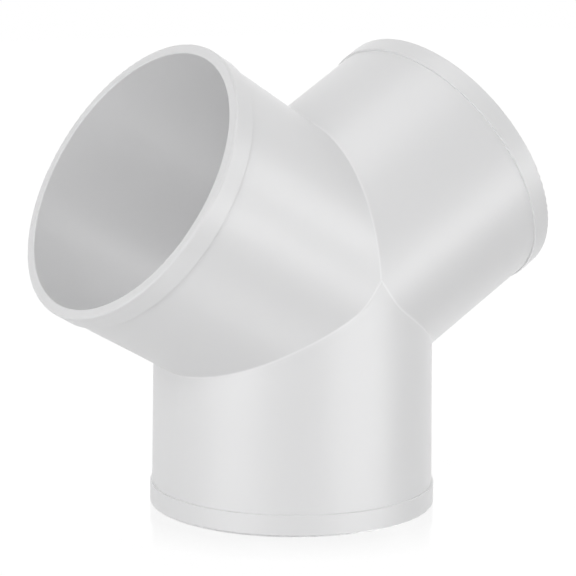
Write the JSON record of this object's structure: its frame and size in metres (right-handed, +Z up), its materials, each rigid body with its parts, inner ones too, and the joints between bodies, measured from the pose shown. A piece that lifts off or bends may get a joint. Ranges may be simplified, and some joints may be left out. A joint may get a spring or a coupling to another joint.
{
  "type": "duct wye connector",
  "caption": "Moulded wye for round ventilation duct: equal tubes meet at 120 degrees in one plane, each ending in a thin raised collar.",
  "frame": {"origin": "centre of the foot's rim, on the surface the wye stands on", "axes": "+X across the two arms, +Y along the depth, +Z up from the foot; the axes of all three tubes lie in the XZ plane"},
  "size_m": [0.1854, 0.1, 0.1608],
  "materials": {
    "white_plastic": "satin injection-moulded ABS, plain white"
  },
  "bodies": {
    "root": {"wye_body": "white_plastic"}
  },
  "joints": []
}
